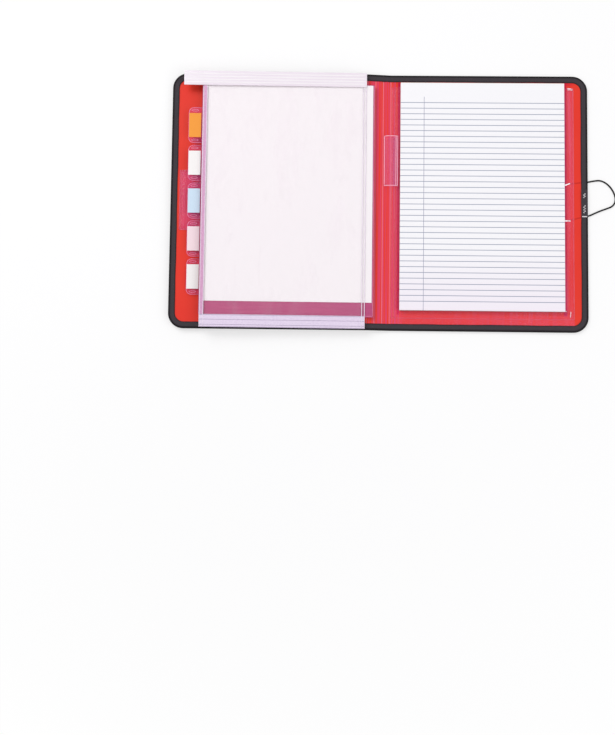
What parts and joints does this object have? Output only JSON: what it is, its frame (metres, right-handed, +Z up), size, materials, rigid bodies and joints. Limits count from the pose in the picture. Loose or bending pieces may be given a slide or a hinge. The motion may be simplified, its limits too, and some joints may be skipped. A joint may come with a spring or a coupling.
{
  "type": "plastic padfolio",
  "caption": "Folding plastic folio with a taped edge, writing pad, tabbed divider pages, zip pouch, pen loop and elastic button closure.",
  "frame": {"origin": "middle of the underside of the open folio, on the surface that it lies on", "axes": "+X across the open folio from the front cover to the back cover, +Y to the top of the pages, +Z up"},
  "size_m": [0.5549, 0.323, 0.0204],
  "materials": {
    "red_polypropylene": "translucent, fine moulded grain",
    "woven_tape": "matte woven binding tape",
    "elastic": "braided elastic cord",
    "plated_steel": "polished",
    "tinted_film": "thin clear film over red",
    "clear_film": "clear glossy film",
    "divider_film": "milky translucent film",
    "zip_plastic": "glossy extruded zip",
    "greyboard": "matte",
    "ruled_paper": "matte, ruled",
    "plain_paper": "matte",
    "padding_gum": "matte",
    "button_plastic": "moulded, satin",
    "label_orange": "matte card",
    "label_white": "matte card",
    "label_blue": "matte card",
    "label_pink": "matte card"
  },
  "bodies": {
    "back": {"back_cover": "red_polypropylene", "back_binding": "woven_tape", "tape_lap": "woven_tape", "elastic_run_upper": "elastic", "elastic_run_lower": "elastic", "barb_upper": "plated_steel", "barb_lower": "plated_steel", "pad_pocket": "tinted_film", "pen_loop": "tinted_film"},
    "pad": {"pad_board": "greyboard", "pad_paper": "ruled_paper", "pad_gum": "padding_gum"},
    "elastic": {"elastic_loop": "elastic"},
    "back_hinge": {"back_hinge_strip": "red_polypropylene", "back_hinge_tape_top": "woven_tape", "back_hinge_tape_bottom": "woven_tape"},
    "spine": {"spine_strip": "red_polypropylene", "spine_tape_top": "woven_tape", "spine_tape_bottom": "woven_tape"},
    "front_hinge": {"front_hinge_strip": "red_polypropylene", "front_hinge_tape_top": "woven_tape", "front_hinge_tape_bottom": "woven_tape"},
    "front": {"front_cover": "red_polypropylene", "front_binding": "woven_tape", "button_disc": "button_plastic", "button_rivet": "plated_steel", "rivet_washer": "plated_steel", "card_pocket": "clear_film", "page_weld_bar": "red_polypropylene"},
    "page_1": {"divider_1": "divider_film", "tab_label_1": "label_orange", "insert_sheet": "plain_paper"},
    "page_2": {"divider_2": "divider_film", "tab_label_2": "label_white"},
    "page_3": {"divider_3": "divider_film", "tab_label_3": "label_blue"},
    "page_4": {"divider_4": "divider_film", "tab_label_4": "label_pink"},
    "page_5": {"divider_5": "divider_film", "tab_label_5": "label_white"},
    "pouch": {"pouch_back_film": "clear_film", "pouch_front_film": "clear_film", "zip_lower_track": "zip_plastic", "zip_upper_track": "zip_plastic"}
  },
  "joints": [
    {"name": "back_outer_crease", "type": "hinge", "parent": "back", "child": "back_hinge", "pos_m": [0.01427, 0, 0.00275], "axis": [0, 1, 0], "range_deg": [0, 10.92]},
    {"name": "back_inner_crease", "type": "hinge", "parent": "back_hinge", "child": "spine", "pos_m": [0.00476, 0, 0.00402], "axis": [0, 1, 0], "range_deg": [0, 71.5]},
    {"name": "front_inner_crease", "type": "hinge", "parent": "spine", "child": "front_hinge", "pos_m": [-0.00476, 0, 0.00528], "axis": [0, 1, 0], "range_deg": [0, 71.5]},
    {"name": "front_outer_crease", "type": "hinge", "parent": "front_hinge", "child": "front", "pos_m": [-0.01427, 0, 0.00655], "axis": [0, 1, 0], "range_deg": [0, 26.08]},
    {"name": "page_1_press", "type": "hinge", "parent": "front", "child": "page_1", "pos_m": [-0.02027, 0, 0.01135], "axis": [0, 1, 0], "range_deg": [-1.3, 0]},
    {"name": "page_2_press", "type": "hinge", "parent": "front", "child": "page_2", "pos_m": [-0.02027, 0, 0.0106], "axis": [0, 1, 0], "range_deg": [-1.05, 0]},
    {"name": "page_3_press", "type": "hinge", "parent": "front", "child": "page_3", "pos_m": [-0.02027, 0, 0.00985], "axis": [0, 1, 0], "range_deg": [-0.8, 0]},
    {"name": "page_4_press", "type": "hinge", "parent": "front", "child": "page_4", "pos_m": [-0.02027, 0, 0.0091], "axis": [0, 1, 0], "range_deg": [-0.55, 0]},
    {"name": "page_5_press", "type": "hinge", "parent": "front", "child": "page_5", "pos_m": [-0.02027, 0, 0.00835], "axis": [0, 1, 0], "range_deg": [-0.3, 0]},
    {"name": "pouch_press", "type": "hinge", "parent": "front", "child": "pouch", "pos_m": [-0.02027, 0, 0.01255], "axis": [0, 1, 0], "range_deg": [-1.6, 0]},
    {"name": "pad_slide", "type": "slide", "parent": "back", "child": "pad", "axis": [0, -1, 0], "range_m": [-0.29, 0]},
    {"name": "elastic_swing", "type": "hinge", "parent": "back", "child": "elastic", "pos_m": [0.25967, 0, 0.01107], "axis": [0, -1, 0], "range_deg": [0, 180]}
  ],
  "couplings": [
    {"joint": "page_1_press", "follows": "front_outer_crease", "ratio": -0.049842},
    {"joint": "page_2_press", "follows": "front_outer_crease", "ratio": -0.040257},
    {"joint": "page_3_press", "follows": "front_outer_crease", "ratio": -0.030672},
    {"joint": "page_4_press", "follows": "front_outer_crease", "ratio": -0.021087},
    {"joint": "page_5_press", "follows": "front_outer_crease", "ratio": -0.011502},
    {"joint": "pouch_press", "follows": "front_outer_crease", "ratio": -0.061345}
  ]
}
